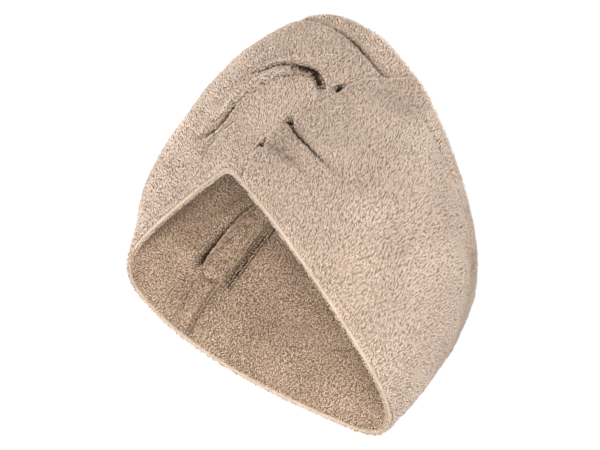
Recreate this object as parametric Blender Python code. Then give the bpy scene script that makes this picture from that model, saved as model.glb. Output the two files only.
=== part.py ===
"""Spa headband: a wide band of two layers of terry cloth, crossed over itself in a twist at the front.

It lies on its nape length, with the twist on top. Metres, +Z up. The origin is the centre of the
flat nape face. +X runs along the nape, +Y from the near rim to the far rim, through the opening.

Every piece is a stretch of one closed band. A place on the band is (u, t, depth): u counts the
stations round the loop, t runs from 0 at the near rim to 1 at the far rim, and depth is how far
the place lies under the band's outer face.
"""
import math

import bpy
import numpy as np

# ---- driving dimensions ----
BAND_WIDTH = 0.132        # rim to rim, at the nape
TERRY = 0.0034            # one layer of terry, pile pressed flat
GAP = 0.0003              # clearance between two pieces that touch
NEAR_HEM = 0.008          # width of the rolled hem on the near rim
FAR_HEM = 0.014           # width of the rolled hem on the far rim
HEM_BULGE = 0.0012        # how far a hem's roll stands past the cloth
OVERLAP = 0.016           # how far the left band runs on under the right band's edge
THREAD_RADIUS = 0.0004
SEAM_COVER_WIDTH = 0.016
SEAM_COVER_THICKNESS = 0.0018
ELASTIC_LENGTH = 0.070    # along the band, across the nape seam
ELASTIC_WIDTH = 0.050
ELASTIC_THICKNESS = 0.0010
POCKET_REACH = 1.9        # the lining's rise over the elastic, in half lengths of the elastic
POCKET_SLOPE = 0.5        # and the stretch over which it comes back down
TACK_LENGTH = 0.007
TACK_T = {"near": 0.24, "far": 0.41}      # where the two tacks pinch the gathered edge
FOLD_DEPTH = 0.0035       # the left band's creases beside the twist
FOLD_WIDTH = 0.050        # their width, as a share of the band
CREASE_DEPTH = 0.0012     # the right band's creases
CREASE_WIDTH = 0.035
RIGHT_CREASES = ((0.24, 0.0, 0.9), (0.41, -0.07, 1.3), (0.53, -0.12, 0.5))   # t, slope, reach
UNDER_RUN = 0.45          # stations over which the left band goes down to the right band's underside
SEAM_STATION = 0.044      # length of one station beside the nape seam
TWIST_STATION = 0.050     # length of one station beside the twist

# The band's outer face, in 16 stations that start on the ridge of the twist and go down the right
# side, along the nape and up the left side. Each has a place on the near rim, mid-width and the
# far rim. The origin is moved to the nape's centre afterwards.
NAPE_CENTRE_Y = 0.048
STATIONS = [
    ((-0.045, 0.035, 0.103), (-0.046, 0.097, 0.119), (-0.014, 0.165, 0.122)),   # ridge of the twist
    ((-0.006, 0.022, 0.102), (0.012, 0.090, 0.119), (0.016, 0.155, 0.110)),
    ((0.040, 0.012, 0.084), (0.056, 0.082, 0.100), (0.044, 0.144, 0.087)),
    ((0.082, 0.005, 0.058), (0.090, 0.074, 0.066), (0.066, 0.133, 0.060)),      # right side
    ((0.103, 0.003, 0.035), (0.103, 0.064, 0.037), (0.078, 0.124, 0.033)),
    ((0.108, 0.002, 0.013), (0.101, 0.058, 0.013), (0.082, 0.114, 0.012)),      # right corner
    ((0.094, -0.004, 0.001), (0.086, 0.056, 0.001), (0.068, 0.114, 0.001)),
    ((0.050, -0.013, 0.0), (0.048, 0.052, 0.0), (0.040, 0.114, 0.0)),
    ((0.0, -0.019, 0.0), (0.0, 0.050, 0.0), (0.0, 0.114, 0.0)),                 # nape
    ((-0.050, -0.018, 0.0), (-0.048, 0.050, 0.0), (-0.044, 0.114, 0.0)),
    ((-0.093, -0.009, 0.001), (-0.094, 0.054, 0.001), (-0.080, 0.115, 0.001)),
    ((-0.110, 0.001, 0.011), (-0.116, 0.055, 0.013), (-0.096, 0.118, 0.011)),   # left corner
    ((-0.101, 0.009, 0.033), (-0.130, 0.058, 0.046), (-0.106, 0.126, 0.044)),
    ((-0.079, 0.025, 0.067), (-0.117, 0.080, 0.092), (-0.101, 0.146, 0.094)),   # left side
    ((-0.065, 0.033, 0.087), (-0.097, 0.099, 0.121), (-0.082, 0.161, 0.129)),
    ((-0.056, 0.036, 0.099), (-0.074, 0.103, 0.126), (-0.047, 0.168, 0.132)),
]
EDGE_U = 0.20             # station of the right band's gathered edge at mid-width
SEAM_U = 8.98             # station of the nape seam at the near rim
SEAM_SKEW = 0.85          # how many stations the seam has moved at the far rim
LOOP = len(STATIONS)
NEAR_T = NEAR_HEM / BAND_WIDTH
FAR_T = 1 - FAR_HEM / BAND_WIDTH
FULL = 2 * TERRY + GAP    # both layers together

# ---- how finely the solids are cut ----
ACROSS = 10
SEAM_GAP = 0.5 * GAP / SEAM_STATION       # each panel stops this many stations from the seam
LINING_INSET = 4 * SEAM_GAP               # clearance, in stations, where the right lining starts
TUCK = OVERLAP / TWIST_STATION            # the overlap, in stations
TUCK_SHARE = TUCK / (SEAM_U - EDGE_U)
RIGHT_SHARES = np.array([0, 0.5 * TUCK_SHARE, *np.linspace(TUCK_SHARE, 1, 34)])
LEFT_SHARES = np.linspace(0, 1, 33)
LINING_END = 0.93                         # share of the left band at which its lining stops
STITCH_POINTS = 24
STITCH_INSET = 0.012                      # the hem stitches lie this share of the width inside the hem
HEM_MARGIN = 3 * GAP / BAND_WIDTH         # clearance between a panel and the hem beside it
LEFT_HEM_INSET = 0.0015                   # the left hems stop this share short of the right ones
COVER_STITCHES = {"left": 0.8, "right": -0.8}   # shares of the seam cover's half width
COVER_NEAR_T = 0.08
COVER_FAR_T = 0.88

# ---- colours ----
SAND = (0.56, 0.43, 0.32)
SAND_LIGHT = (0.64, 0.51, 0.39)
SAND_DEEP = (0.45, 0.33, 0.24)
ECRU = (0.72, 0.62, 0.50)


# ---- the band's surface ----
def closed_curve(points, u):
    """A smooth closed curve through the points, at the station numbers in u."""
    count = len(points)
    whole = np.floor(u).astype(int)
    f = (u - whole)[..., None]
    p0, p1, p2, p3 = (points[(whole + k) % count] for k in (-1, 0, 1, 2))
    return 0.5 * (2 * p1 + (p2 - p0) * f + (2 * p0 - 5 * p1 + 4 * p2 - p3) * f**2
                  + (3 * p1 - 3 * p2 + p3 - p0) * f**3)


def face_point(u, t):
    """A point of the band's outer face."""
    near, middle, far = (closed_curve(np.array(STATIONS)[:, k], u) for k in range(3))
    t = t[..., None]
    point = near * (2 * t - 1) * (t - 1) + middle * 4 * t * (1 - t) + far * t * (2 * t - 1)
    point[..., 1] -= NAPE_CENTRE_Y
    point[..., 2] = np.maximum(point[..., 2], 0.0)
    return point


def inward_normal(u, t):
    """The unit normal of the outer face, pointing into the band."""
    step = 0.02
    along = face_point(u + step, t) - face_point(u - step, t)
    across = face_point(u, t + step) - face_point(u, t - step)
    normal = np.cross(across, along)
    return normal / np.linalg.norm(normal, axis=-1, keepdims=True)


def band_point(u, t, depth):
    u, t, depth = np.broadcast_arrays(*(np.asarray(value, float) for value in (u, t, depth)))
    point = face_point(u, t) + inward_normal(u, t) * depth[..., None]
    point[..., 2] = np.maximum(point[..., 2], 0.0)
    return point


def smooth_step(value):
    value = np.clip(value, 0.0, 1.0)
    return value * value * (3 - 2 * value)


# ---- lines on the band ----
def edge_u(t):
    """The right band's gathered edge, which lies over the left band at the twist."""
    return EDGE_U + 0.08 * (1 - 2 * t)**4 - 0.12 * np.exp(-((t - 0.8) / 0.1)**2)


def seam_u(t):
    return SEAM_U + SEAM_SKEW * t


def upper_crease_t(u):
    """Where the left band's upper fold meets its middle fold, left of the twist (u below 0)."""
    return 0.66 - 0.27 * (u / 1.47)**2


def lower_crease_t(u):
    """Where the middle fold meets the smooth fold beside the near rim."""
    return np.minimum(0.16 + 0.58 * np.clip(1 + u / 2.4, 0, 1)**1.7, 0.66)


# ---- heights over and under the band's face ----
def valley(distance, width):
    return np.exp(-(distance / width)**2)


def left_depth(u, t):
    """Depth of the left band's outer face: its folds near the twist, and where it goes under."""
    u = u - LOOP
    near_twist = smooth_step((u + 2.4) / 0.8)
    upper = FOLD_DEPTH * smooth_step((u + 1.7) / 0.5) * valley(t - upper_crease_t(u), FOLD_WIDTH)
    lower = FOLD_DEPTH * near_twist * valley(t - lower_crease_t(u), FOLD_WIDTH)
    going_under = smooth_step((u - edge_u(t)) / UNDER_RUN + 1)
    return np.maximum(np.maximum(upper, lower), (TERRY + 3 * GAP) * going_under)


def right_depth(u, t):
    """Depth of the right band's outer face: the creases that run off its gathered edge."""
    depth = 0.0
    for crease_t, slope, reach in RIGHT_CREASES:
        along = (u - edge_u(t)) / reach
        fade = smooth_step(along * 6) * smooth_step(1.5 - along)
        depth = depth + fade * valley(t - crease_t - slope * u, CREASE_WIDTH)
    return CREASE_DEPTH * depth


def lining_depth(u, t):
    """Depth of the lining's outer face. It rises over the elastic at the nape seam."""
    along = np.abs(u - seam_u(t)) * SEAM_STATION / (0.5 * ELASTIC_LENGTH)
    across = np.abs(t - 0.5) * BAND_WIDTH / (0.5 * ELASTIC_WIDTH)
    rise = (ELASTIC_THICKNESS + GAP) * smooth_step((POCKET_REACH - along) / POCKET_SLOPE)
    return TERRY + GAP + rise * smooth_step((POCKET_REACH - across) / POCKET_SLOPE)


# ---- making solids ----
def add_object(name, vertices, faces, colour, roughness=0.95):
    mesh = bpy.data.meshes.new(name)
    mesh.from_pydata([tuple(v) for v in vertices], [], faces)
    mesh.update()
    material = bpy.data.materials.new(name)
    material.use_nodes = True
    shader = material.node_tree.nodes["Principled BSDF"]
    shader.inputs["Base Color"].default_value = (*colour, 1.0)
    shader.inputs["Roughness"].default_value = roughness
    shader.inputs["Metallic"].default_value = 0.0
    mesh.materials.append(material)
    mesh.shade_smooth()
    mesh.set_sharp_from_angle(angle=math.radians(50))
    thing = bpy.data.objects.new(name, mesh)
    bpy.context.scene.collection.objects.link(thing)
    return thing


def add_sheet(name, u, t, top, bottom, colour):
    """A closed sheet over the grid (u, t), between two depths. The grid runs along, then across."""
    rows, columns = u.shape
    outer = band_point(u, t, top).reshape(-1, 3)
    inner = band_point(u, t, bottom).reshape(-1, 3)
    count = rows * columns

    def place(i, j):
        return i * columns + j

    faces = []
    for i in range(rows - 1):
        for j in range(columns - 1):
            a, b, c, d = place(i, j), place(i + 1, j), place(i + 1, j + 1), place(i, j + 1)
            faces += [(a, b, c), (a, c, d)]
            faces += [(a + count, c + count, b + count), (a + count, d + count, c + count)]
    loop = [place(i, 0) for i in range(rows)]
    loop += [place(rows - 1, j) for j in range(1, columns)]
    loop += [place(i, columns - 1) for i in range(rows - 2, -1, -1)]
    loop += [place(0, j) for j in range(columns - 2, 0, -1)]
    for a, b in zip(loop, loop[1:] + loop[:1]):
        faces += [(a, b + count, b), (a, a + count, b + count)]
    return add_object(name, np.vstack([outer, inner]), faces, colour)


def add_rail(name, sections, colour):
    """A closed solid through sections that all have the same number of points."""
    count = len(sections[0])
    vertices = np.vstack(sections)
    faces = [tuple(range(count - 1, -1, -1)), tuple(range(len(vertices) - count, len(vertices)))]
    for i in range(len(sections) - 1):
        for k in range(count):
            a, b = i * count + k, i * count + (k + 1) % count
            faces += [(a, b, b + count), (a, b + count, a + count)]
    return add_object(name, vertices, faces, colour)


def add_thread(name, path, radius=THREAD_RADIUS, colour=ECRU):
    """A run of sewing thread along a path of points, as a bevelled curve with closed ends."""
    curve = bpy.data.curves.new(name, "CURVE")
    curve.dimensions = "3D"
    curve.bevel_depth = radius
    curve.bevel_resolution = 1
    curve.use_fill_caps = True
    spline = curve.splines.new("POLY")
    spline.points.add(len(path) - 1)
    for point, place in zip(spline.points, path):
        point.co = (*place, 1.0)
    holder = bpy.data.objects.new(name + "_path", curve)
    bpy.context.scene.collection.objects.link(holder)
    bpy.context.view_layer.update()
    mesh = bpy.data.meshes.new_from_object(holder.evaluated_get(bpy.context.evaluated_depsgraph_get()))
    vertices = [vertex.co[:] for vertex in mesh.vertices]
    faces = [tuple(polygon.vertices) for polygon in mesh.polygons]
    bpy.data.objects.remove(holder)
    return add_object(name, vertices, faces, colour, roughness=0.7)


# ---- the parts ----
def right_line(share, t):
    """Station of the place that is this share of the way from the right band's edge to the seam."""
    return edge_u(t) + share * (seam_u(t) - SEAM_GAP - edge_u(t))


def left_line(share, t):
    """The same for the left band, from the seam to where it ends under the right band."""
    start, end = seam_u(t) + SEAM_GAP, LOOP + edge_u(t)
    return start + share * (end - start)


def grid(line, shares, across=ACROSS):
    share, t = np.meshgrid(shares, np.linspace(NEAR_T, FAR_T, across + 1), indexing="ij")
    return line(share, t), t


def add_panels():
    # the right band: its lining starts where the left band ends beneath it
    u, t = grid(right_line, RIGHT_SHARES)
    depth = right_depth(u, t)
    add_sheet("right_outer_panel", u, t, depth, TERRY, SAND)
    u, t = grid(right_line, RIGHT_SHARES[2:])
    u[0] += LINING_INSET
    depth = lining_depth(u, t)
    add_sheet("right_lining_panel", u, t, depth, depth + TERRY, SAND_DEEP)

    # the left band: its lining ends before it goes down under the right band
    u, t = grid(left_line, LEFT_SHARES)
    u = np.vstack([u, u[-1:] + 0.5 * TUCK, u[-1:] + TUCK])
    t = np.vstack([t, t[-1:], t[-1:]])
    depth = left_depth(u, t)
    add_sheet("left_outer_panel", u, t, depth, depth + TERRY, SAND)
    u, t = grid(left_line, [share for share in LEFT_SHARES if share < LINING_END])
    depth = np.maximum(lining_depth(u, t), left_depth(u, t) + TERRY + GAP)
    add_sheet("left_lining_panel", u, t, depth, depth + TERRY, SAND_DEEP)


def hem_section(edge_t, rim_t):
    """A hem's rolled outline from edge_t out to the rim: (t, depth) points going round it."""
    outline = ((1.0, 0.0), (0.55, -HEM_BULGE), (0.15, 0.12 * FULL), (0.0, 0.5 * FULL),
               (0.15, 0.88 * FULL), (0.55, FULL + HEM_BULGE), (1.0, FULL))
    return [(rim_t + share * (edge_t - rim_t), depth) for share, depth in outline]


def add_hem(name, line, shares, edge_t, rim_t, near):
    outline = np.array(hem_section(edge_t, rim_t))
    if not near:
        outline = outline[::-1]
    sections = [band_point(line(share, outline[:, 0]), outline[:, 0], outline[:, 1]) for share in shares]
    return add_rail(name, sections, SAND_LIGHT)


def add_hems():
    left_shares = np.append(LEFT_SHARES[:-1], LEFT_SHARES[-1] - LEFT_HEM_INSET)
    for side, line, shares in (("right", right_line, RIGHT_SHARES), ("left", left_line, left_shares)):
        add_hem(side + "_near_hem", line, shares, NEAR_T - HEM_MARGIN, 0.0, True)
        add_hem(side + "_far_hem", line, shares, FAR_T + HEM_MARGIN, 1.0, False)


def add_hem_stitches():
    """The rows of stitches beside the hems, on the raised part of the band."""
    lift = -(THREAD_RADIUS + GAP)
    runs = (("right", 0.5, 4.5, right_depth), ("left", 11.7, LOOP - 0.5, left_depth))
    for side, start, end, face_depth in runs:
        for rim, t in (("near", NEAR_T + STITCH_INSET), ("far", FAR_T - STITCH_INSET)):
            u = np.linspace(start, end, STITCH_POINTS)
            row = np.full_like(u, t)
            add_thread(f"{side}_{rim}_hem_stitch", band_point(u, row, face_depth(u, row) + lift))


def add_nape_seam():
    t = np.linspace(COVER_NEAR_T, COVER_FAR_T, ACROSS + 1)[None, :]
    half = 0.5 * SEAM_COVER_WIDTH / SEAM_STATION
    u = seam_u(t) + np.linspace(-half, half, 5)[:, None]
    t = np.broadcast_to(t, u.shape)
    depth = lining_depth(u, t) + TERRY + GAP
    add_sheet("nape_seam_cover", u, t, depth, depth + SEAM_COVER_THICKNESS, SAND_DEEP)
    row = t[0]
    for name, share in COVER_STITCHES.items():
        line = seam_u(row) + share * half
        depth = lining_depth(line, row) + TERRY + 2 * GAP + SEAM_COVER_THICKNESS + THREAD_RADIUS
        add_thread(f"nape_seam_stitch_{name}", band_point(line, row, depth))

    # the elastic lies flat between the two layers, across the seam
    half_u = 0.5 * ELASTIC_LENGTH / SEAM_STATION
    half_t = 0.5 * ELASTIC_WIDTH / BAND_WIDTH
    t = np.linspace(0.5 - half_t, 0.5 + half_t, 9)[None, :]
    u = seam_u(t) + np.linspace(-half_u, half_u, 13)[:, None]
    t = np.broadcast_to(t, u.shape)
    top = np.full(u.shape, TERRY + GAP)
    add_sheet("nape_elastic", u, t, top, top + ELASTIC_THICKNESS, ECRU)


def add_tacks():
    """Short bars of thread that hold the right band's edge down on the left band."""
    half = 0.5 * TACK_LENGTH / TWIST_STATION
    for name, t in TACK_T.items():
        u = edge_u(t) + half * np.linspace(-1, 1, 5)
        row = np.full_like(u, t)
        lift = -(THREAD_RADIUS + 2 * GAP)
        add_thread(f"twist_tack_{name}", band_point(u, row, np.full_like(u, lift)))


def main():
    for thing in list(bpy.data.objects):
        bpy.data.objects.remove(thing)
    add_panels()
    add_hems()
    add_hem_stitches()
    add_nape_seam()
    add_tacks()


main()
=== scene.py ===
"""Looks of the spa headband: terry cloth with real pile, folds of the twist, hems, lining and seam.

A place on the band is (u, t): u counts the stations round the loop and t is the share of the width, from the
near rim at 0 to the far rim at 1. Depth is measured inwards from the band's face. Lengths are in metres.
"""
import math

import bpy
import numpy as np
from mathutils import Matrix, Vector


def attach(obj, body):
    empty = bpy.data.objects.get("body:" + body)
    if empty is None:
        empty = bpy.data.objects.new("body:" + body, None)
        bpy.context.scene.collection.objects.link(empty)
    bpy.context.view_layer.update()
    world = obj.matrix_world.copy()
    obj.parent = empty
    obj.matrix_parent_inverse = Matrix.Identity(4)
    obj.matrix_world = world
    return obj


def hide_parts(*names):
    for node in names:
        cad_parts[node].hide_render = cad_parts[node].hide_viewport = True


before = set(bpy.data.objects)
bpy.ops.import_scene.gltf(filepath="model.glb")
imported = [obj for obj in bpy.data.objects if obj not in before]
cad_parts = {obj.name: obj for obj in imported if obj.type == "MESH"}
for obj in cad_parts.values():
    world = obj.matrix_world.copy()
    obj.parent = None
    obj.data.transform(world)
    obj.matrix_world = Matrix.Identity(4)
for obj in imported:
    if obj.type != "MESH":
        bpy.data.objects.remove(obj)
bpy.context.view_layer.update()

# ---- the band, as the frame holds it ----
BAND_WIDTH = 0.132
TERRY = 0.0034            # thickness of one layer
GAP = 0.0003              # clearance between the layers
FULL = 2 * TERRY + GAP
FAR_HEM = 0.014
NAPE_CENTRE_Y = 0.048     # the frame's origin, in the stations' y
# near rim, mid-width and far rim of each station round the loop, from the ridge of the twist
STATIONS = np.array([
    ((-0.045, 0.035, 0.103), (-0.046, 0.097, 0.119), (-0.014, 0.165, 0.122)),   # ridge of the twist
    ((-0.006, 0.022, 0.102), (0.012, 0.090, 0.119), (0.016, 0.155, 0.110)),
    ((0.040, 0.012, 0.084), (0.056, 0.082, 0.100), (0.044, 0.144, 0.087)),
    ((0.082, 0.005, 0.058), (0.090, 0.074, 0.066), (0.066, 0.133, 0.060)),      # right side
    ((0.103, 0.003, 0.035), (0.103, 0.064, 0.037), (0.078, 0.124, 0.033)),
    ((0.108, 0.002, 0.013), (0.101, 0.058, 0.013), (0.082, 0.114, 0.012)),      # right corner
    ((0.094, -0.004, 0.001), (0.086, 0.056, 0.001), (0.068, 0.114, 0.001)),
    ((0.050, -0.013, 0.0), (0.048, 0.052, 0.0), (0.040, 0.114, 0.0)),
    ((0.0, -0.019, 0.0), (0.0, 0.050, 0.0), (0.0, 0.114, 0.0)),                 # nape
    ((-0.050, -0.018, 0.0), (-0.048, 0.050, 0.0), (-0.044, 0.114, 0.0)),
    ((-0.093, -0.009, 0.001), (-0.094, 0.054, 0.001), (-0.080, 0.115, 0.001)),
    ((-0.110, 0.001, 0.011), (-0.116, 0.055, 0.013), (-0.096, 0.118, 0.011)),   # left corner
    ((-0.101, 0.009, 0.033), (-0.130, 0.058, 0.046), (-0.106, 0.126, 0.044)),
    ((-0.079, 0.025, 0.067), (-0.117, 0.080, 0.092), (-0.101, 0.146, 0.094)),   # left side
    ((-0.065, 0.033, 0.087), (-0.097, 0.099, 0.121), (-0.082, 0.161, 0.129)),
    ((-0.056, 0.036, 0.099), (-0.074, 0.103, 0.126), (-0.047, 0.168, 0.132)),
])
LOOP = len(STATIONS)
SEAM_STATION = 0.044      # length of one station at the nape seam
TWIST_STATION = 0.050     # the same at the twist
RIM_STATION = 0.036       # the same along the rims, on average
TWIST_WIDTH = 0.145       # width of the band at the twist
SEAM_U = 8.98             # station of the nape seam at the near rim
SEAM_SKEW = 0.85          # and how many stations further it is at the far rim

CLOTH_ENDS = (0.008, 0.992)       # shares of the width between which the cloth lies
RIM_THICKNESS = 0.0030    # the band is pressed thin along both rims
RIM_TAPER = 0.028
BEAD_RADIUS = 0.0013      # of the rolled hem
NEAR_LINE = 0.032         # share of the width where each hem is stitched down
FAR_LINE = 1 - FAR_HEM / BAND_WIDTH
CLOTH = 0.0008            # thickness of the ground cloth under the pile
THREAD_RADIUS = 0.00025
TACK_RADIUS = 0.0004
STITCH_LENGTH = 0.0034
STITCH_STEP = 0.0006      # between two points along a stitched thread

COVER_WIDTH = 0.0158      # of the terry strip over the nape seam
COVER_HALF = 0.5 * COVER_WIDTH / SEAM_STATION
COVER_SPAN = (0.075, 0.885)
COVER_END = 0.36          # the high part of the strip stops here across the band
COVER_END_LENGTH = 0.0085
COVER_HIGH, COVER_LOW = 0.0038, 0.0004
ELASTIC_LENGTH = 0.070
ELASTIC_SPAN = (0.31, 0.69)
ELASTIC_THICKNESS = 0.0008

# ---- pile ----
TUFT_LENGTH = 0.0026
TUFT_WIDTH = 0.00031
TUFT_SPACING = 0.00088
TUFT_BELLY = 0.58         # a tuft bends at this share of its length
TUFTS_PER_PIECE = 32000
FIBRE_SPACING = 0.00022   # along the rims
PILE_LIFT = 0.0008        # the ground cloth lies this far under the pile's face
PILE_GRID = (200, 72)     # cells over a panel, along and across
PROBE = 0.003             # step in u and t that finds the slope of the cloth
SHADE_STEP = 0.0009       # painted shade: a tuft is one tone darker for each such depth of its crease
THINS_OUT = (0.0030, 0.0070)      # between these depths of a crease the tufts end
GROUND_SHADE = (0.0008, 0.0034)   # and between these depths the ground cloth is painted dark as shade
DARKEST_SHADE = 4.6       # tones
TUFT_LENGTHS, TUFT_WIDTHS = (0.75, 1.3), (0.8, 1.25)     # ranges, as shares of the above
TUFT_LEAN = (0.98, 0.11)  # mean and spread of the angle from the cloth's normal
FIBRE_LENGTHS, FIBRE_WIDTHS = (0.0012, 0.0026), (0.6, 1.0)
FIBRE_LEAN = (0.65, 0.25)
FIBRE_FAN = 1.7           # they stand this far to both sides of straight out
TONE_LEVEL, TONE_SPREAD = 0.68, 0.8      # share of the way to the lightest tone, and spread in tones
TONE_WAVES = (0.6, 0.045, 17)            # height in tones, wavelength and seed
OUTER_FLOW = np.array((-0.1, 0.85, 0.60))     # the way that the tufts lie
INNER_FLOW = np.array((0.35, -1.0, 0.25))

# ---- creases, grooves and swellings ----
# A soft line is (place, height or depth, width) of a smooth bump across some distance.
EDGE_U = 0.20                                          # station of the right band's edge
EDGE_FLARE = 0.08                                      # its rise towards both rims
EDGE_BAYS = ((0.8, 0.12, 0.1), (0.24, 0.09, 0.13))     # where it lies further back, across the band
EDGE_LINE = 0.0030        # the two bands meet this far past the edge
EDGE_ROLL = 0.0014        # radius of the rolled edge, and where across the band it is fuller
EDGE_ROLL_SWELLS = ((0.32, 0.0012, 0.09), (0.70, 0.0008, 0.09), (0.09, 0.0010, 0.06))
EDGE_GROOVE = (EDGE_LINE, 0.0052, 0.0017)
EDGE_OPENINGS = ((0.27, 1.1, 0.050), (0.35, 0.7, 0.04), (0.52, 0.35, 0.06), (0.70, 0.5, 0.05))
HOLES_T = (0.215, 0.400)  # the two tacked points of the edge
HOLE_DEPTH, HOLE_WIDTH = 0.0085, 0.0028
NEAR_GROOVE = (0.0042, 0.0007, 0.0009)                 # stitched grooves, from their rims
FAR_GROOVE = (FAR_HEM, 0.0034, 0.0016)
ROLL_REACH = 0.020        # a roll takes its cloth from this far behind it
FOLD_FOOT = 0.0060        # length of the slope under a fold

# creases of the right band: share of the width, depth, width, length and the share of it at full depth
FIRST_CREASE = (0.252, 0.0052, 0.0046, 0.070, 0.0)
SECOND_CREASE = (0.334, 0.0042, 0.0034, 0.062, 0.1)
THIRD_CREASE = (0.521, 0.0016, 0.0030, 0.020, 0.0)
# painted shade along the bottom of the second crease
SECOND_CREASE_SHADE = (0.334, 0.0040, 0.0011, 0.058, 0.1)
SECOND_PINCH = (0.334, 1.0, 0.0030, 0.060, 0.0)
SECOND_BEND = (0.20, 0.062, 0.26)                      # its curve, along u
RIGHT_RIDGE = (0.295, 0.0026, 0.0055, 0.065, 0.0)      # between the first two
RIGHT_SWELL = (0.012, 0.0020, 0.014)                   # behind the edge
CREASES_SHADE = (0.026, 0.42, 0.020)                   # painted shade of the soft creases, from the edge
RIGHT_HEM_SHARE = 0.4                                  # the right band's stitched grooves are shallower

# creases of the left band: where they lie across it, how that rises along it, and where they start and are
# full. Their stations count from the twist, so that they are below 0.
UPPER_CREASE_T, UPPER_RISE, UPPER_START = 0.345, (-0.33, 0.345, 1.05), (-1.75, -1.15)
LOWER_CREASE_T, LOWER_RISE, LOWER_START = 0.195, (-0.30, 0.445, 0.91), (-2.8, -2.0)
UPPER_ROLL, LOWER_ROLL = 0.0023, 0.0022                # radii of the folds above the creases
UPPER_ROLL_THINS = 0.0010                              # at the twist
UPPER_SWELL, LOWER_SWELL = (0.011, 0.0036, 0.0095), (0.007, 0.0026, 0.0050)
CREASE_DIP = (-0.0010, 0.0016, 0.0050)
# painted shade: how dark the left band's creases are, as a depth
CREASE_SHADE_DEPTH = 0.0050
CREASE_PINCH, SLIT_PINCH, HEM_PINCH = (0.0, 1.0, 0.0040), (0.0, 1.0, 0.0028), (FAR_HEM, 0.8, 0.0035)
RIGHT_EDGE_PINCH, LEFT_EDGE_PINCH = (0.0, 0.7, 0.0030), (0.0, 0.7, 0.0035)
SHORT_CREASE_T, SHORT_CREASE_SLOPE, SHORT_CREASE_U = 0.120, 0.09, -2.23
SHORT_CREASE = (0.0, 0.0050, 0.0021)
LEFT_SWELL_ALONG, LEFT_SWELL_ACROSS = (0.018, 0.0030, 0.018), (0.46 * TWIST_WIDTH, 1.0, 0.020)
LOBE_SWELL = (0.0070, 0.0014, 0.0050)                  # from the far rim
PITS = (      # routes of the openings between the folds, and their widths
    (((-0.42, 0.672), (-0.28, 0.674)), 0.0008),
    (((-0.25, 0.670), (-0.18, 0.658)), 0.0016),
    (((-0.17, 0.655), (-0.13, 0.645), (-0.05, 0.66)), 0.0009),
    (((0.04, 0.700), (0.05, 0.720)), 0.0017),
)
PIT_DEPTH = 0.0090
PIT_WAVES = (0.25, 0.005, 6)     # unevenness of their widths: share, wavelength and seed
SLIT_ROUTE = ((0.108, 0.127), (0.100, 0.080), (0.112, 0.028))
SLIT = (0.0, 0.0060, 0.0012)

# lines and rolls beside the nape seam, from the seam: by the high part of its cover and by the low part
LINES_RISE, ROLLS_RISE = (0.29, 0.37), (0.27, 0.37)     # across the band, from the low part to the high one
HIGH_VALLEY = (0.0108, 0.0042, 0.0027)
HIGH_LINES = ((-0.0096, 0.0042, 0.0009), (-0.0120, 0.0036, 0.0009), (-0.0146, 0.0036, 0.0009),
              (-0.0174, 0.0026, 0.0009))
LOW_LINES = ((0.0060, 0.8, 0.0009), (-0.0064, 1.0, 0.0008), (-0.0088, 1.0, 0.0009))
LOW_LINE_DEPTH = 0.0038
HIGH_ROLLS = ((0.0220, 0.0044, 0.0125), (-0.0170, 0.0026, 0.0070))
HIGH_BED = (0.0, 0.0018, 0.016)
LOW_ROLLS = ((0.0150, 1.0, 0.007), (-0.0150, 1.0, 0.006))
LOW_ROLL_HEIGHT = 0.0016

# height, wavelength and seed of the cloth's unevenness
OUTER_WAVES = ((0.00070, 0.036, 3), (0.00025, 0.014, 4))
INNER_WAVES = ((0.00055, 0.030, 8), (0.00025, 0.012, 9))


# ---- smooth steps, bumps and waves ----
def unit(vectors):
    return vectors / np.maximum(np.linalg.norm(vectors, axis=-1, keepdims=True), 1e-12)


def smooth_step(value):
    value = np.clip(value, 0.0, 1.0)
    return value * value * (3 - 2 * value)


def rise(value, start, full):
    """0 before start, 1 after full and smooth between. It falls where full is below start."""
    return smooth_step((value - start) / (full - start))


def hump(distance, width):
    return np.exp(-(distance / width)**2)


def soft_line(distance, line):
    place, height, width = line
    return height * hump(distance - place, width)


def soft_lines(distance, lines, start=0.0):
    return sum((soft_line(distance, line) for line in lines), start)


def waves(points, wavelength, seed):
    """Soft random waves between about -1 and 1 over points in space."""
    rng = np.random.default_rng(seed)
    total = 0.0
    for _ in range(7):
        direction = unit(rng.normal(size=3))
        scale = rng.uniform(0.7, 1.5)
        total = total + np.sin(points @ direction * (2 * math.pi * scale / wavelength) + rng.uniform(0, 6.28))
    return total / 3.2


# ---- the band's surface ----
def closed_curve(points, u):
    count = len(points)
    whole = np.floor(u).astype(int)
    f = (u - whole)[..., None]
    p0, p1, p2, p3 = (points[(whole + k) % count] for k in (-1, 0, 1, 2))
    return 0.5 * (2 * p1 + (p2 - p0) * f + (2 * p0 - 5 * p1 + 4 * p2 - p3) * f**2
                  + (3 * p1 - 3 * p2 + p3 - p0) * f**3)


def face_point(u, t):
    near, middle, far = (closed_curve(STATIONS[:, k], u) for k in range(3))
    t = t[..., None]
    point = near * (2 * t - 1) * (t - 1) + middle * 4 * t * (1 - t) + far * t * (2 * t - 1)
    point[..., 1] -= NAPE_CENTRE_Y
    point[..., 2] = np.maximum(point[..., 2], 0.0)
    return point


def inward_normal(u, t):
    step = 0.02
    along = face_point(u + step, t) - face_point(u - step, t)
    across = face_point(u, t + step) - face_point(u, t - step)
    return unit(np.cross(across, along))


def band_point(u, t, depth):
    u, t, depth = np.broadcast_arrays(*(np.asarray(value, float) for value in (u, t, depth)))
    point = face_point(u, t) + inward_normal(u, t) * depth[..., None]
    point[..., 2] = np.maximum(point[..., 2], 0.0)
    return point


def from_near_rim(t):
    return t * BAND_WIDTH


def from_far_rim(t):
    return (1 - t) * BAND_WIDTH


def from_rims(t):
    return np.minimum(t, 1 - t) * BAND_WIDTH


def band_thickness(t):
    return RIM_THICKNESS + (FULL - RIM_THICKNESS) * smooth_step(from_rims(t) / RIM_TAPER)


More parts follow.
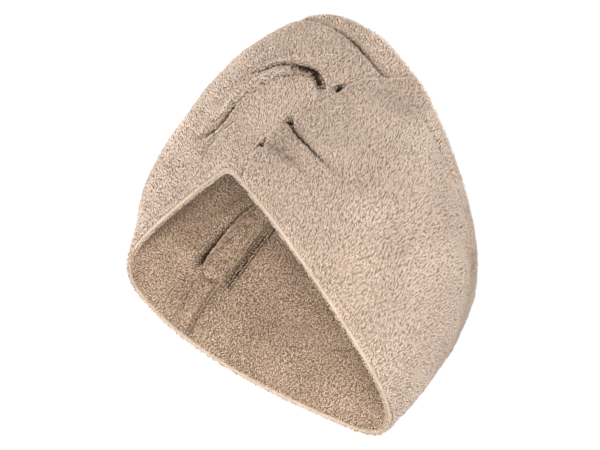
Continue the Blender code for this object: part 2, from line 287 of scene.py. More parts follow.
# ---- lines on the band ----
def edge_u(t):
    edge = EDGE_U + EDGE_FLARE * (1 - 2 * t)**4
    for bay in EDGE_BAYS:
        edge = edge - soft_line(t, bay)
    return edge


def left_edge_u(t):
    return LOOP + edge_u(t)


def seam_u(t):
    return SEAM_U + SEAM_SKEW * t


def from_seam(u, t):
    return (u - seam_u(t)) * SEAM_STATION


def line_distance(points, route):
    """Distance from each point to a route through (u, t) places on the band's face."""
    route = np.array(route, float)
    fine = np.linspace(0, len(route) - 1, 12 * len(route))
    u = np.interp(fine, range(len(route)), route[:, 0])
    t = np.interp(fine, range(len(route)), route[:, 1])
    flat = points.reshape(-1, 3)
    nearest = np.min([((flat - place)**2).sum(1) for place in face_point(u, t)], axis=0)
    return np.sqrt(nearest).reshape(points.shape[:-1])


# ---- relief of each layer, as depth under the band's face ----
def unevenness(u, t, kinds, calm):
    """How unevenly the cloth lies. It dies away within the calm distance of the rims."""
    places = face_point(u, t)
    soft = sum(height * waves(places, wavelength, seed) for height, wavelength, seed in kinds)
    return soft * smooth_step(from_rims(t) / calm)


def outer_depth(u, t):
    return PILE_LIFT + unevenness(u, t, OUTER_WAVES, 0.015)


def hem_line(t):
    """Grooves where the hems are stitched down."""
    return soft_line(from_near_rim(t), NEAR_GROOVE) + soft_line(from_far_rim(t), FAR_GROOVE)


def capped(relief, most=0.0088):
    """Relief that levels off smoothly."""
    return relief / (1 + (relief / most)**3)**(1 / 3)


def roll(s, radius, reach):
    """A fold's edge rolled over a crease at s = 0: where each point lies, and how far it drops."""
    radius = np.maximum(radius, 1e-5)
    length = math.pi * radius
    angle = np.clip(s / radius, 0, math.pi)
    beyond = np.clip((s - length) * reach / (reach - length), 0, None)
    x = np.where(s < length, -radius * np.sin(angle), np.where(s < reach, beyond, s))
    return x, radius * (1 + np.cos(angle))


def edge_radius(t):
    """The right band's edge is a fuller roll by the rim and by the pit, and flat between."""
    return soft_lines(t, EDGE_ROLL_SWELLS, EDGE_ROLL)


def edge_groove(s, t):
    """The line where the two bands meet is open by the rim, between the holes and by the pit."""
    return soft_lines(t, EDGE_OPENINGS) * soft_line(s, EDGE_GROOVE)


def holes(s, t):
    """The two points where a tack pulls the right band's edge in."""
    return sum(HOLE_DEPTH * hump(np.hypot(s - EDGE_LINE, (t - place) * TWIST_WIDTH), HOLE_WIDTH)
               for place in HOLES_T)


def fading_crease(s, t, crease, bend=0.0):
    """A crease that runs off the right band's edge at s = 0."""
    place, depth, width, length, held = crease
    return depth * hump((t - place - bend) * TWIST_WIDTH, width) * smooth_step(1 + held - s / length)


def right_cloth(u, t):
    """Place, shade and pinch of the right band's face, which rolls over the left band's at s = 0."""
    s = (u - edge_u(t)) * TWIST_STATION
    bend = soft_line(u, SECOND_BEND)
    depth = outer_depth(u, t) + RIGHT_HEM_SHARE * hem_line(t)
    depth = depth - soft_line(s, RIGHT_SWELL) * smooth_step(t / 0.08) - fading_crease(s, t, RIGHT_RIDGE)
    soft = (fading_crease(s, t, FIRST_CREASE) + fading_crease(s, t, SECOND_CREASE, bend)
            + fading_crease(s, t, THIRD_CREASE))
    relief = holes(s, t) + edge_groove(s, t)
    x, drop = roll(s, edge_radius(t), ROLL_REACH)
    # painted shade in the soft creases, the holes and the edge groove; deep shade also thins out the tufts
    shade = soft * soft_line(s, CREASES_SHADE) + relief + fading_crease(s, t, SECOND_CREASE_SHADE, bend)
    pinch = np.maximum(soft_line(s, RIGHT_EDGE_PINCH), fading_crease(s, t, SECOND_PINCH, bend))
    return band_point(u + (x - s) / TWIST_STATION, t, depth + capped(relief + soft + drop)), shade, pinch


def left_folds(v, t):
    """The left band's long creases, each under the rolled edge of the fold above it.

    Gives how far the cloth drops, shifts across the band and swells, and the creases' shade and pinch.
    """
    upper_t = UPPER_CREASE_T + soft_line(v, UPPER_RISE)
    lower_t = LOWER_CREASE_T + soft_line(v, LOWER_RISE)
    above_upper, above_lower = (t - upper_t) * TWIST_WIDTH, (t - lower_t) * TWIST_WIDTH
    upper_on, lower_on = rise(v, *UPPER_START), rise(v, *LOWER_START)
    between = np.clip((upper_t - lower_t) * TWIST_WIDTH, 0.0005, None)
    upper_radius = (UPPER_ROLL - UPPER_ROLL_THINS * rise(v, -0.6, -0.2)) * upper_on
    lower_reach = np.minimum(ROLL_REACH, 0.9 * between)
    lower_radius = np.minimum(LOWER_ROLL * lower_on, 0.2 * lower_reach)
    upper_x, upper_drop = roll(above_upper, upper_radius, ROLL_REACH)
    lower_x, lower_drop = roll(above_lower, lower_radius, lower_reach)
    under_upper = 2 * upper_radius * smooth_step(1 + above_upper / FOLD_FOOT)
    under_lower = 2 * lower_radius * smooth_step(1 + above_lower / FOLD_FOOT)
    below = under_upper + np.where(above_lower > 0, lower_drop, under_lower)
    drop = np.where(above_upper > 0, upper_drop, below)
    drop = drop + upper_on * soft_line(above_upper, CREASE_DIP)
    drop = drop + lower_on * soft_line(above_lower, CREASE_DIP)
    shift = np.where(above_upper > 0, upper_x - above_upper,
                     np.where(above_lower > 0, lower_x - above_lower, 0))
    swell = upper_on * soft_line(above_upper, UPPER_SWELL) + lower_on * soft_line(above_lower, LOWER_SWELL)
    # towards the twist the middle of the shade moves from above the crease's line to below it
    centre = 0.0014 - 0.0024 * rise(v, -1.1, -0.5)
    # painted shade along each crease, under the rolled edge of the fold above it
    shade = np.maximum(upper_on * hump(above_upper - centre, 0.0016 + 0.95 * upper_radius),
                       lower_on * hump(above_lower - centre, 0.0016 + 0.95 * lower_radius))
    shade = CREASE_SHADE_DEPTH * shade * (1 - 0.75 * rise(v, -0.60, -0.30))
    pinch = np.maximum(upper_on * soft_line(above_upper, CREASE_PINCH),
                       lower_on * soft_line(above_lower, CREASE_PINCH))
    return drop, shift, swell, shade, pinch


def left_openings(u, t):
    """The pits between the folds, and the distance from the slit by the near rim."""
    places = face_point(u, t)
    height, wavelength, seed = PIT_WAVES
    uneven = 1 + height * waves(places, wavelength, seed)
    pits = np.max([hump(line_distance(places, route), width * uneven) for route, width in PITS], axis=0)
    return PIT_DEPTH * pits, line_distance(places, np.add(SLIT_ROUTE, (LOOP, 0)))


def left_cloth(u, t):
    """Place, shade and pinch of the left band's face: an upper, a middle and a smooth lower fold."""
    v = np.asarray(u, float) - LOOP
    to_edge = (edge_u(t) - v) * TWIST_STATION
    drop, shift, swell, fold_shade, pinch = left_folds(v, t)
    swell = swell + soft_line(to_edge, LEFT_SWELL_ALONG) * soft_line(t * TWIST_WIDTH, LEFT_SWELL_ACROSS)
    swell = swell + soft_line(from_far_rim(t), LOBE_SWELL)
    short = (t - SHORT_CREASE_T - SHORT_CREASE_SLOPE * (v - SHORT_CREASE_U)) * TWIST_WIDTH
    pits, slit = left_openings(u, t)
    relief = hem_line(t) + soft_line(short, SHORT_CREASE) * rise(v, -2.4, -2.0) * rise(v, -0.9, -1.3)
    relief = relief + pits + soft_line(slit, SLIT) + 0.8 * holes(to_edge, t) + edge_groove(to_edge, t)
    shade = relief + fold_shade
    # it dips and goes under the right band's edge
    dip = rise(to_edge, 0.0050, 0.0005) * (2 * edge_radius(t) + 0.0014)
    pinch = np.max([pinch, soft_line(from_far_rim(t), HEM_PINCH), soft_line(to_edge, LEFT_EDGE_PINCH),
                    soft_line(slit, SLIT_PINCH)], axis=0)
    depth = outer_depth(u, t) - swell + capped(relief + dip + drop)
    return band_point(u, t + shift / TWIST_WIDTH, depth), shade, pinch


def seam_valleys(u, t):
    """Depth of the pinched lines beside the nape seam."""
    x = from_seam(u, t)
    high = rise(t, *LINES_RISE)
    fade = rise(t, -0.02, 0.08) * rise(t, 1.02, 0.90)
    lines = soft_lines(x, HIGH_LINES, soft_line(x, HIGH_VALLEY) * rise(t, 1.10, 0.75))
    return fade * (high * lines + (1 - high) * LOW_LINE_DEPTH * soft_lines(x, LOW_LINES))


def seam_relief(u, t):
    """How far the lining stands into the band beside the nape seam."""
    x = from_seam(u, t)
    high = rise(t, *ROLLS_RISE)
    fade = rise(t, -0.02, 0.10) * rise(t, 1.02, 0.87)
    rolls = high * (soft_lines(x, HIGH_ROLLS) + soft_line(x, HIGH_BED))
    rolls = rolls + (1 - high) * LOW_ROLL_HEIGHT * soft_lines(x, LOW_ROLLS)
    return fade * rolls - seam_valleys(u, t)


def knot(u, t):
    """The hidden folds of the twist swell the lining from behind."""
    x = ((u + LOOP / 2) % LOOP - LOOP / 2 - 0.1) * TWIST_STATION
    inside = smooth_step(from_near_rim(t) / 0.022) * smooth_step(from_far_rim(t) / 0.030)
    return inside * hump(x, 0.036) * (0.0070 + 0.0010 * np.sin(t * 24 + x * 90))


def inner_depth(u, t):
    return (band_thickness(t) - PILE_LIFT + seam_relief(u, t) + knot(u, t)
            + unevenness(u, t, INNER_WAVES, 0.01))


def lining_cloth(u, t):
    """Place, shade and pinch of the lining. Its pile is left out under the seam's cover."""
    valleys = seam_valleys(u, t)
    inset = 0.01
    covered = smooth_step((0.46 * COVER_WIDTH - np.abs(from_seam(u, t))) / 0.0006)
    covered = covered * (t > COVER_SPAN[0] + inset) * (t < COVER_SPAN[1] - inset)
    # painted shade along the valleys beside the seam; under the cover the shade runs high, so the pile there
    # is left out and tufts that lean under the cover's edge are painted dark
    return band_point(u, t, inner_depth(u, t)), 0.9 * valleys + 0.009 * covered, smooth_step(valleys / 0.0015)


def cover_depth(u, t):
    """Face of the terry strip that covers the seam: a high roll, its rounded end, then a low one."""
    x = from_seam(u, t) / (0.5 * COVER_WIDTH)
    end = np.clip((COVER_END - t) * BAND_WIDTH / COVER_END_LENGTH, 0, 1)
    round_end = np.sqrt(np.clip(1 - end**2 - x**2, 0, 1))
    across = np.sqrt(np.clip(1 - x**2, 0, 1))
    return inner_depth(u, t) + 0.0004 + np.maximum(COVER_HIGH * round_end, COVER_LOW * across)


def cover_cloth(u, t):
    """Place, shade and pinch of the seam's cover, with painted shade and shorter tufts in a thin crease round
    its high part's end.
    """
    x = from_seam(u, t) / (0.5 * COVER_WIDTH)
    beyond = (t - COVER_END) * BAND_WIDTH
    outline = np.hypot(np.clip(-beyond / COVER_END_LENGTH, 0, None), x) - 1
    shade = 0.0034 * hump(outline, 0.10) * rise(beyond, 0.004, 0.0) + 0.9 * seam_valleys(u, t)
    return band_point(u, t, cover_depth(u, t)), shade, smooth_step(shade / 0.0015)


# ---- meshes ----
def grid_normals(points):
    """Inward normals of a grid of points whose rows run along u."""
    return unit(np.cross(np.gradient(points, axis=1), np.gradient(points, axis=0)))


def mesh_object(name, points, quads, materials, indices=None):
    """An object from points and faces that all have the same number of corners."""
    mesh = bpy.data.meshes.new(name)
    mesh.vertices.add(len(points))
    mesh.vertices.foreach_set("co", np.asarray(points, np.float32).ravel())
    mesh.loops.add(quads.size)
    mesh.loops.foreach_set("vertex_index", quads.ravel().astype(np.int32))
    mesh.polygons.add(len(quads))
    mesh.polygons.foreach_set("loop_start", np.arange(0, quads.size, quads.shape[1], dtype=np.int32))
    for material in materials:
        mesh.materials.append(material)
    if indices is not None:
        mesh.polygons.foreach_set("material_index", indices.astype(np.int32))
    mesh.update(calc_edges=True)
    mesh.shade_smooth()
    thing = bpy.data.objects.new(name, mesh)
    bpy.context.scene.collection.objects.link(thing)
    return thing


def make_sheet(name, top, bottom, material):
    """A closed sheet between two grids of points, top on the band's outer side."""
    rows, columns = top.shape[:2]
    count = rows * columns
    points = np.vstack([top.reshape(-1, 3), bottom.reshape(-1, 3)])
    points[:, 2] = np.maximum(points[:, 2], 0.0)
    i, j = np.meshgrid(np.arange(rows - 1), np.arange(columns - 1), indexing="ij")
    a = (i * columns + j).ravel()
    b, c, d = a + columns, a + columns + 1, a + 1
    upper = np.stack([a, b, c, d], 1)
    lower = np.stack([a, d, c, b], 1) + count
    loop = np.concatenate([
        np.arange(rows) * columns,
        (rows - 1) * columns + np.arange(1, columns),
        np.arange(rows - 2, -1, -1) * columns + columns - 1,
        np.arange(columns - 2, 0, -1),
    ])
    following = np.roll(loop, -1)
    wall = np.stack([loop, loop + count, following + count, following], 1)
    return mesh_object(name, points, np.vstack([upper, lower, wall]), [material])


def make_tube(name, centre, first, second, radius, sides, cap, material, flip=False):
    """A closed tube round a centre line. first and second are the two directions across it."""
    angles = (np.arange(sides) * 2 * math.pi / sides)[None, :, None]
    ring = centre[:, None] + radius * (np.cos(angles) * first[:, None] + np.sin(angles) * second[:, None])
    ring[..., 2] = np.maximum(ring[..., 2], 0.0)
    i, k = np.meshgrid(np.arange(len(centre) - 1), np.arange(sides), indexing="ij")
    a, b = (i * sides + k).ravel(), (i * sides + (k + 1) % sides).ravel()
    walls = np.stack([a, b, b + sides, a + sides], 1)
    cap = np.array(cap)
    quads = np.vstack([walls, cap, cap[:, ::-1] + (len(centre) - 1) * sides])
    return mesh_object(name, ring.reshape(-1, 3), quads[:, ::-1] if flip else quads, [material])


def band_lines(start, end, along, across, crowd=1.0, ends=CLOTH_ENDS):
    """The (u, t) grid between two lines across the band.

    crowd draws the grid's lines to the start, or to the end where it is below 0.
    """
    share = np.linspace(0, 1, along + 1)
    share = share**crowd if crowd > 0 else 1 - (1 - share)**-crowd
    share, t = np.meshgrid(share, np.linspace(0, 1, across + 1), indexing="ij")
    t = ends[0] + (ends[1] - ends[0]) * t
    return start(t) + share * (end(t) - start(t)), t


def rim_frame(u, near):
    """Centre line of a rim's bead, with its outward and inward directions."""
    set_in = 0.8 * BEAD_RADIUS / BAND_WIDTH
    t = np.full_like(u, set_in if near else 1 - set_in)
    centre = band_point(u, t, 0.5 * RIM_THICKNESS)
    step = 0.02 if near else -0.02
    outward = unit(face_point(u, t) - face_point(u, t + step))
    return centre, outward, inward_normal(u, t)


def add_rim(name, start_u, end_u, near, material):
    """A rolled bead of cloth along one rim."""
    octagon = ((0, 3, 2, 1), (0, 7, 4, 3), (7, 6, 5, 4))
    centre, outward, inward = rim_frame(np.linspace(start_u, end_u, 240), near)
    return make_tube(name, centre, outward, inward, BEAD_RADIUS, 8, octagon, material, flip=not near)


def add_thread(name, path, radius, material):
    """A thin thread along a path."""
    side = unit(np.cross(np.gradient(path, axis=0), (0.31, 0.22, 0.92)))
    up = unit(np.cross(side, np.gradient(path, axis=0)))
    return make_tube(name, path, side, up, radius, 4, ((3, 2, 1, 0),), material)


def add_stitches(name, start_u, end_u, t, cloth_of, material):
    """A row of stitches: the thread dives under the cloth between them."""
    count = int((end_u - start_u) * RIM_STATION / STITCH_STEP)
    u = np.linspace(start_u, end_u, count)
    row = np.full(count, t)
    wave = np.cos(np.arange(count) * 2 * math.pi * STITCH_STEP / STITCH_LENGTH)
    path = cloth_of(u, row)[0] + inward_normal(u, row) * (0.0002 * wave - 0.0001)[:, None]
    return add_thread(name, path, THREAD_RADIUS, material)


# ---- pile: short bent tufts of yarn that lie over one another ----
TUFT_FACES = np.array([(0, 2, 1), (0, 3, 2), (0, 1, 3), (1, 2, 4), (2, 3, 4), (3, 1, 4)])


def add_tufts(name, anchor, normal, lay, size, wide, tilt, tone, tones):
    """Bent tapered tufts that start at anchor and lie over towards lay: a root, a ring of three and a tip."""
    side = np.cross(normal, lay)
    size, wide, tilt = size[:, None], wide[:, None], tilt[:, None]
    first = normal * np.cos(tilt - 0.3) + lay * np.sin(tilt - 0.3)
    second = normal * np.cos(tilt + 0.4) + lay * np.sin(tilt + 0.4)
    belly = anchor + first * size * TUFT_BELLY
    tip = belly + second * size * (1 - TUFT_BELLY)
    up = np.cross(first, side)
    thirds = (0, math.tau / 3, 2 * math.tau / 3)
    ring = [belly + wide * (side * math.cos(angle) + up * math.sin(angle)) for angle in thirds]
    points = np.stack([anchor - normal * 0.0004, *ring, tip], 1)
    points[..., 2] = np.maximum(points[..., 2], 0.0002)
    pieces = []
    chunks = np.array_split(np.arange(len(anchor)), math.ceil(len(anchor) / TUFTS_PER_PIECE))
    for k, chunk in enumerate(chunks):
        faces = (TUFT_FACES[None] + (np.arange(len(chunk)) * 5)[:, None, None]).reshape(-1, 3)
        pieces.append(mesh_object(f"{name}_{k}", points[chunk].reshape(-1, 3), faces, tones,
                                  np.repeat(tone[chunk], len(TUFT_FACES))))
    return pieces


def pick_tone(rng, anchor, tones, shade):
    """Index of each tuft's tone: mostly light, in soft patches, and darker in the shade."""
    last = len(tones) - 1
    height, wavelength, seed = TONE_WAVES
    value = TONE_LEVEL * last + height * waves(anchor, wavelength, seed)
    value = value + rng.normal(0, TONE_SPREAD, len(anchor)) - shade
    return np.clip(np.round(value), 0, last)


def scatter(rng, u, t, cloth_of):
    """Random places over a grid of the cloth, as many in each cell as its area asks for."""
    base = cloth_of(u, t)[0]
    along, across = base[1:, :-1] - base[:-1, :-1], base[:-1, 1:] - base[:-1, :-1]
    area = np.linalg.norm(np.cross(along, across), axis=2)
    copies = np.floor(area / TUFT_SPACING**2 + rng.random(area.shape)).astype(int).ravel()
    cell = np.repeat(np.arange(copies.size), copies)
    row, column = cell // (u.shape[1] - 1), cell % (u.shape[1] - 1)
    t_place = t[row, column] + rng.random(len(cell)) * (t[row, column + 1] - t[row, column])
    u_place = u[row, column] + rng.random(len(cell)) * (u[row + 1, column] - u[row, column])
    return u_place, t_place


def add_pile(name, start, end, cloth_of, tones, seed, inside, ends=CLOTH_ENDS):
    """Tufts all over a layer of cloth, but not where it rests on the floor, nor deep in a crease."""
    rng = np.random.default_rng(seed)
    u, t = scatter(rng, *band_lines(start, end, *PILE_GRID, ends=ends), cloth_of)
    anchor, relief, pinch = cloth_of(u, t)
    along = cloth_of(u + PROBE, t)[0] - anchor
    across = cloth_of(u, t + PROBE)[0] - anchor
    normal = unit(np.cross(across, along)) * (1.0 if inside else -1.0)
    rests = (anchor[:, 2] < 0.0012) & (normal[:, 2] < -0.6)
    stands = ~rests & (rng.random(len(anchor)) > rise(relief, *THINS_OUT))
    u, t, anchor, normal, relief, pinch, along, across = (
        values[stands] for values in (u, t, anchor, normal, relief, pinch, along, across))
    flow = INNER_FLOW if inside else OUTER_FLOW
    level = unit(flow - (normal @ flow)[:, None] * normal)
    turn = 0.22 * waves(anchor, 0.040, seed + 7) + rng.normal(0, 0.11, len(anchor))
    lay = level * np.cos(turn)[:, None] + np.cross(normal, level) * np.sin(turn)[:, None]
    length = TUFT_LENGTH * (1 - 0.5 * pinch)
    # a tuft is painted with the shade of the crease that it leans over
    lean = lay * (0.7 * length)[:, None]
    over = (u + PROBE * (lean * along).sum(1) / (along * along).sum(1),
            t + PROBE * (lean * across).sum(1) / (across * across).sum(1))
    shade = np.maximum(0.7 * relief, cloth_of(*over)[1])
    tone = pick_tone(rng, anchor, tones, np.clip(shade / SHADE_STEP, 0, DARKEST_SHADE))
    count = len(anchor)
    return add_tufts(name, anchor, normal, lay, length * rng.uniform(*TUFT_LENGTHS, count),
                     TUFT_WIDTH * rng.uniform(*TUFT_WIDTHS, count), rng.normal(*TUFT_LEAN, count),
                     tone, tones)


def add_rim_pile(name, start_u, end_u, near, tones, seed):
    """Short fibres that stand out from a rim's bead."""
    rng = np.random.default_rng(seed)
    count = int((end_u - start_u) * RIM_STATION / FIBRE_SPACING)
    u = np.sort(rng.uniform(start_u, end_u, count))
    centre, outward, inward = rim_frame(u, near)
    angle = rng.uniform(-FIBRE_FAN, FIBRE_FAN, count)[:, None]
    normal = outward * np.cos(angle) + inward * np.sin(angle)
    along = unit(np.cross(outward, inward))
    lay = unit(along * rng.normal(0, 1, count)[:, None] + 0.8 * outward)
    lay = unit(lay - (lay * normal).sum(1)[:, None] * normal)
    tone = pick_tone(rng, centre, tones, -0.3)
    root = centre + normal * BEAD_RADIUS * 0.8
    return add_tufts(name, root, normal, lay, rng.uniform(*FIBRE_LENGTHS, count),
                     TUFT_WIDTH * rng.uniform(*FIBRE_WIDTHS, count), rng.normal(*FIBRE_LEAN, count),
                     tone, tones)


# ---- materials ----
PILE_LEVELS = (0.05, 0.30, 0.62, 0.82, 0.94, 1.03, 1.12)      # from deep to light; the deepest ones are painted shade for tufts in creases
HEM_LEVELS = (0.55, 0.76, 0.92, 1.06)
WARMTH = (0.90, 1.0, 1.08)        # a deeper tone is warmer: powers of its level in red, green and blue
# painted shade: the colour of the ground cloth deep in its creases, pits and holes
CREASE_SHADE_COLOUR = (0.020, 0.013, 0.008)
MIX_FACTOR, MIX_A, MIX_B, MIX_RESULT = 0, 6, 7, 2             # sockets of a colour mix


def principled(name, colour, roughness=0.9):
    material = bpy.data.materials.new(name)
    material.use_nodes = True
    shader = material.node_tree.nodes["Principled BSDF"]
    shader.inputs["Base Color"].default_value = (*colour, 1)
    shader.inputs["Roughness"].default_value = roughness
    shader.inputs["Specular IOR Level"].default_value = 0.05
    return material, shader


def cloth_material(name, colour, deep):
    """Ground cloth under the pile: looped weave whose colour varies softly, painted dark as shade where the
    fold_shade attribute marks its creases.
    """
    material, shader = principled(name, colour)
    nodes, links = material.node_tree.nodes, material.node_tree.links
    place = nodes.new("ShaderNodeTexCoord")
    fine = nodes.new("ShaderNodeTexNoise")
    fine.inputs["Scale"].default_value = 900
    fine.inputs["Detail"].default_value = 3
    broad = nodes.new("ShaderNodeTexNoise")
    broad.inputs["Scale"].default_value = 45
    product = nodes.new("ShaderNodeMath")
    product.operation = "MULTIPLY"
    ramp = nodes.new("ShaderNodeValToRGB")
    ramp.color_ramp.elements[0].position = 0.12
    ramp.color_ramp.elements[0].color = (*deep, 1)
    ramp.color_ramp.elements[1].position = 0.38
    ramp.color_ramp.elements[1].color = (*colour, 1)
    # painted shade: the fold_shade attribute mixes the weave's colour towards the shade colour
    creases = nodes.new("ShaderNodeAttribute")
    creases.attribute_name = "fold_shade"
    mix = nodes.new("ShaderNodeMix")
    mix.data_type = "RGBA"
    mix.inputs[MIX_B].default_value = (*CREASE_SHADE_COLOUR, 1)
    bump = nodes.new("ShaderNodeBump")
    bump.inputs["Strength"].default_value = 0.6
    bump.inputs["Distance"].default_value = 0.0006
    links.new(place.outputs["Object"], fine.inputs["Vector"])
    links.new(place.outputs["Object"], broad.inputs["Vector"])
    links.new(fine.outputs["Fac"], product.inputs[0])
    links.new(broad.outputs["Fac"], product.inputs[1])
    links.new(product.outputs[0], ramp.inputs["Fac"])
    links.new(creases.outputs["Fac"], mix.inputs[MIX_FACTOR])
    links.new(ramp.outputs["Color"], mix.inputs[MIX_A])
    links.new(mix.outputs[MIX_RESULT], shader.inputs["Base Color"])
    links.new(fine.outputs["Fac"], bump.inputs["Height"])
    links.new(bump.outputs["Normal"], shader.inputs["Normal"])
    return material


def tone_set(name, colour, levels=PILE_LEVELS):
    """Pile tones from deep and warm to light."""
    tones = []
    for k, level in enumerate(levels):
        tint = tuple(min(1.0, part * level**power) for part, power in zip(colour, WARMTH))
        tones.append(principled(f"{name}_{k}", tint)[0])
    return tones


# painted shade: the ground cloth is darker than the pile's yarn, as the shade in the gaps between the tufts
outer_cloth = cloth_material("terry_ground", (0.31, 0.235, 0.175), (0.21, 0.155, 0.11))
inner_cloth = cloth_material("terry_ground_inside", (0.24, 0.17, 0.118), (0.15, 0.105, 0.07))
thread = cloth_material("thread", (0.56, 0.45, 0.36), (0.40, 0.31, 0.24))
tape = cloth_material("elastic_weave", (0.72, 0.66, 0.58), (0.55, 0.50, 0.43))
hem_cloth = cloth_material("hem_ground", (0.48, 0.38, 0.30), (0.36, 0.28, 0.21))
outer_tones = tone_set("pile", (0.68, 0.55, 0.455))
inner_tones = tone_set("pile_inside", (0.65, 0.485, 0.36))
hem_tones = tone_set("pile_hem", (0.62, 0.50, 0.41), HEM_LEVELS)


# ---- the two layers of each band ----
UNDER_EDGE = 0.3          # stations that the left band goes on under the right one
LINING_BACK = 0.1         # the linings meet this many stations before the edge
PANELS = (
    # name, start line, end line, grid, crowding, cloth
    ("right_outer", edge_u, seam_u, (260, 130), 1.35, right_cloth),
    ("left_outer", seam_u, lambda t: left_edge_u(t) + UNDER_EDGE, (230, 190), -1.25, left_cloth),
    ("right_lining", lambda t: edge_u(t) - LINING_BACK, seam_u, (200, 90), 1.0, lining_cloth),
    ("left_lining", seam_u, lambda t: left_edge_u(t) - LINING_BACK, (200, 90), 1.0, lining_cloth),
)
made = {}
for index, (name, start, end, size, crowd, cloth_of) in enumerate(PANELS):
    inside = name.endswith("lining")
    u, t = band_lines(start, end, *size, crowd=crowd)
    face, relief, _ = cloth_of(u, t)
    inward = grid_normals(face) * CLOTH
    top, bottom = (face - inward, face) if inside else (face, face + inward)
    panel = make_sheet(name + "_cloth", top, bottom, inner_cloth if inside else outer_cloth)
    # painted shade: the ground cloth darkens where its creases, pits and holes are deep
    shade = rise(relief.ravel(), *GROUND_SHADE)
    panel.data.attributes.new("fold_shade", "FLOAT", "POINT").data.foreach_set("value", np.tile(shade, 2))
    tones = inner_tones if inside else outer_tones
    pile = add_pile(name + "_pile", start, end, cloth_of, tones, 21 + index, inside)
    made[name] = (panel, pile)
    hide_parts(name + "_panel")
    for thing in (panel, *pile):
        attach(thing, "root")

# ---- the rolled hems ----
RIMS = (
    # name, start and end station, whether it is the near rim
    ("right_near", 0.28, seam_u(0), True), ("right_far", 0.24, seam_u(1), False),
    ("left_near", seam_u(0), 16.30, True), ("left_far", seam_u(1), 16.26, False),
)
for index, (name, start_u, end_u, near) in enumerate(RIMS):
    bead = add_rim(name + "_rim", start_u, end_u, near, hem_cloth)
    pile = add_rim_pile(name + "_rim_pile", start_u, end_u, near, hem_tones, 41 + index)
    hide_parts(name + "_hem")
    for thing in (bead, *pile):
        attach(thing, "root")
    made[name] = (bead, pile)

# ---- the terry strip over the nape seam ----
share, t = np.meshgrid(np.linspace(-1, 1, 25), np.linspace(*COVER_SPAN, 121), indexing="ij")
u = seam_u(t) + share * COVER_HALF
cover = make_sheet("nape_seam_cover_cloth", band_point(u, t, inner_depth(u, t) - 0.0004),
                   band_point(u, t, cover_depth(u, t)), inner_cloth)
cover_pile = add_pile("nape_seam_cover_pile", lambda t: seam_u(t) - COVER_HALF,
                      lambda t: seam_u(t) + COVER_HALF, cover_cloth, inner_tones, 51, True, COVER_SPAN)
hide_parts("nape_seam_cover")
for thing in (cover, *cover_pile):
    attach(thing, "root")

# ---- threads: four rows along the hems, two along the cover and the two tacks of the twist ----
HEM_ROWS = (
    # side, rim, start and end station, share of the width, cloth
    ("right", "near", 0.45, 4.6, NEAR_LINE, right_cloth), ("right", "far", 0.45, 4.9, FAR_LINE, right_cloth),
    ("left", "near", 11.3, 16.0, NEAR_LINE, left_cloth), ("left", "far", 11.3, 16.0, FAR_LINE, left_cloth),
)
threads = [
    (add_stitches(f"{side}_{rim}_hem_thread", start, end, t, cloth_of, thread), f"{side}_{rim}_hem_stitch")
    for side, rim, start, end, t, cloth_of in HEM_ROWS
]
for side, offset in (("left", 0.8 * COVER_HALF), ("right", -0.8 * COVER_HALF)):
    t = np.linspace(0.10, 0.86, 190)
    u = seam_u(t) + offset
    path = band_point(u, t, cover_depth(u, t) + 0.0002 * np.cos(np.arange(len(t)) * 1.1))
    piece = add_thread(f"nape_seam_thread_{side}", path, THREAD_RADIUS, thread)
    threads.append((piece, f"nape_seam_stitch_{side}"))
for name, hole_t in zip(("near", "far"), HOLES_T):
    along = np.linspace(-1, 1, 9)
    path = band_point(edge_u(hole_t) + 0.06 * along, hole_t, 0.0052 + 0.0004 * along**2)
    threads.append((add_thread(f"twist_tack_thread_{name}", path, TACK_RADIUS, thread), f"twist_tack_{name}"))
for piece, node in threads:
    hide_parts(node)
    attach(piece, "root")

# ---- the elastic lies flat between the two layers, across the seam ----
share, t = np.meshgrid(np.linspace(-0.5, 0.5, 29), np.linspace(*ELASTIC_SPAN, 21), indexing="ij")
u = seam_u(t) + share * ELASTIC_LENGTH / SEAM_STATION
back = inner_depth(u, t) - CLOTH - 0.0001
elastic = make_sheet("nape_elastic_tape", band_point(u, t, back - ELASTIC_THICKNESS),
                     band_point(u, t, back), tape)
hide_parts("nape_elastic")
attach(elastic, "root")

# ---- the pile of each band's outer layer, with its hems' beads, pile and threads ----
thread_of = {node: piece for piece, node in threads}


def with_hems(side):
    pieces = list(made[side + "_outer"][1])
    for rim in ("near", "far"):
        bead, pile = made[f"{side}_{rim}"]
        pieces += [bead, *pile, thread_of[f"{side}_{rim}_hem_stitch"]]
    return pieces


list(with_hems("right"))
with_hems("left")


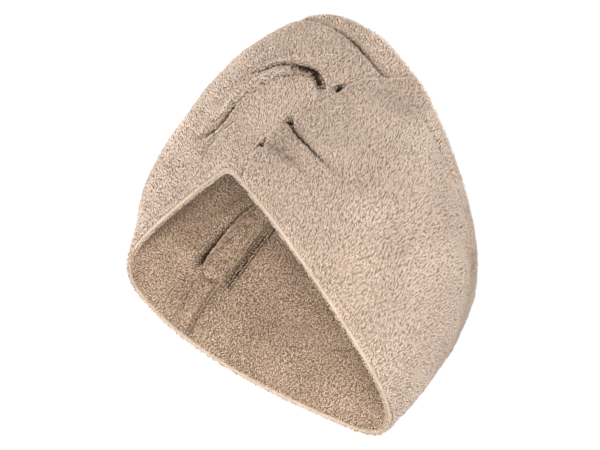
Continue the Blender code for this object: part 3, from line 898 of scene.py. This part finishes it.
# ---- stage, light and camera ----
FLOOR_SIZE, FLOOR_DROP = 6, 0.0002
FLOOR_GREY, FLOOR_GLOW = 0.20, 0.85       # it glows, so that it stays pale under soft light
ROOM_LIGHT = 0.64
LAMPS = (
    # name, azimuth, elevation, distance, size, power
    ("key", 33, 49, 1.7, 0.8, 42),
    ("fill", 5, 10, 1.7, 0.9, 12),
)
LAMP_TARGET = (0, 0.02, 0.05)
CAMERA_AZIMUTH, CAMERA_ELEVATION, CAMERA_DISTANCE = 41, 45, 1.5
CAMERA_TARGET = (-0.0154, 0.0139, 0.059)
CAMERA_LENS = 143.6
CAMERA_SENSOR = 36


def place_round(azimuth, elevation, distance):
    """A place at a distance from the origin. Azimuth turns from -Y towards +X, in degrees."""
    azimuth, elevation = math.radians(azimuth), math.radians(elevation)
    return Vector((math.sin(azimuth) * math.cos(elevation), -math.cos(azimuth) * math.cos(elevation),
                   math.sin(elevation))) * distance


def put_in(name, data, location, target):
    """An object at a location that looks at a target."""
    holder = bpy.data.objects.new(name, data)
    bpy.context.scene.collection.objects.link(holder)
    holder.location = location
    holder.rotation_euler = (Vector(target) - holder.location).to_track_quat("-Z", "Y").to_euler()
    return holder


def build_floor():
    bpy.ops.mesh.primitive_plane_add(size=FLOOR_SIZE, location=(0, 0, -FLOOR_DROP))
    floor = bpy.context.object
    floor.name = "floor"
    material, shader = principled("floor", (FLOOR_GREY, FLOOR_GREY, FLOOR_GREY), roughness=0.8)
    shader.inputs["Emission Color"].default_value = (1, 1, 1, 1)
    shader.inputs["Emission Strength"].default_value = FLOOR_GLOW
    floor.data.materials.append(material)


def build_light():
    world = bpy.data.worlds.new("soft_room")
    bpy.context.scene.world = world
    world.use_nodes = True
    background = world.node_tree.nodes["Background"]
    background.inputs["Color"].default_value = (1, 1, 1, 1)
    background.inputs["Strength"].default_value = ROOM_LIGHT
    for name, azimuth, elevation, distance, size, power in LAMPS:
        lamp = bpy.data.lights.new(name, "AREA")
        lamp.size = size
        lamp.energy = power
        put_in(name, lamp, place_round(azimuth, elevation, distance), LAMP_TARGET)


def build_camera():
    camera = bpy.data.cameras.new("camera")
    camera.lens = CAMERA_LENS
    camera.sensor_width = CAMERA_SENSOR
    location = Vector(CAMERA_TARGET) + place_round(CAMERA_AZIMUTH, CAMERA_ELEVATION, CAMERA_DISTANCE)
    bpy.context.scene.camera = put_in("camera", camera, location, CAMERA_TARGET)


build_floor()
build_light()
build_camera()
bpy.context.scene.view_settings.view_transform = "Standard"
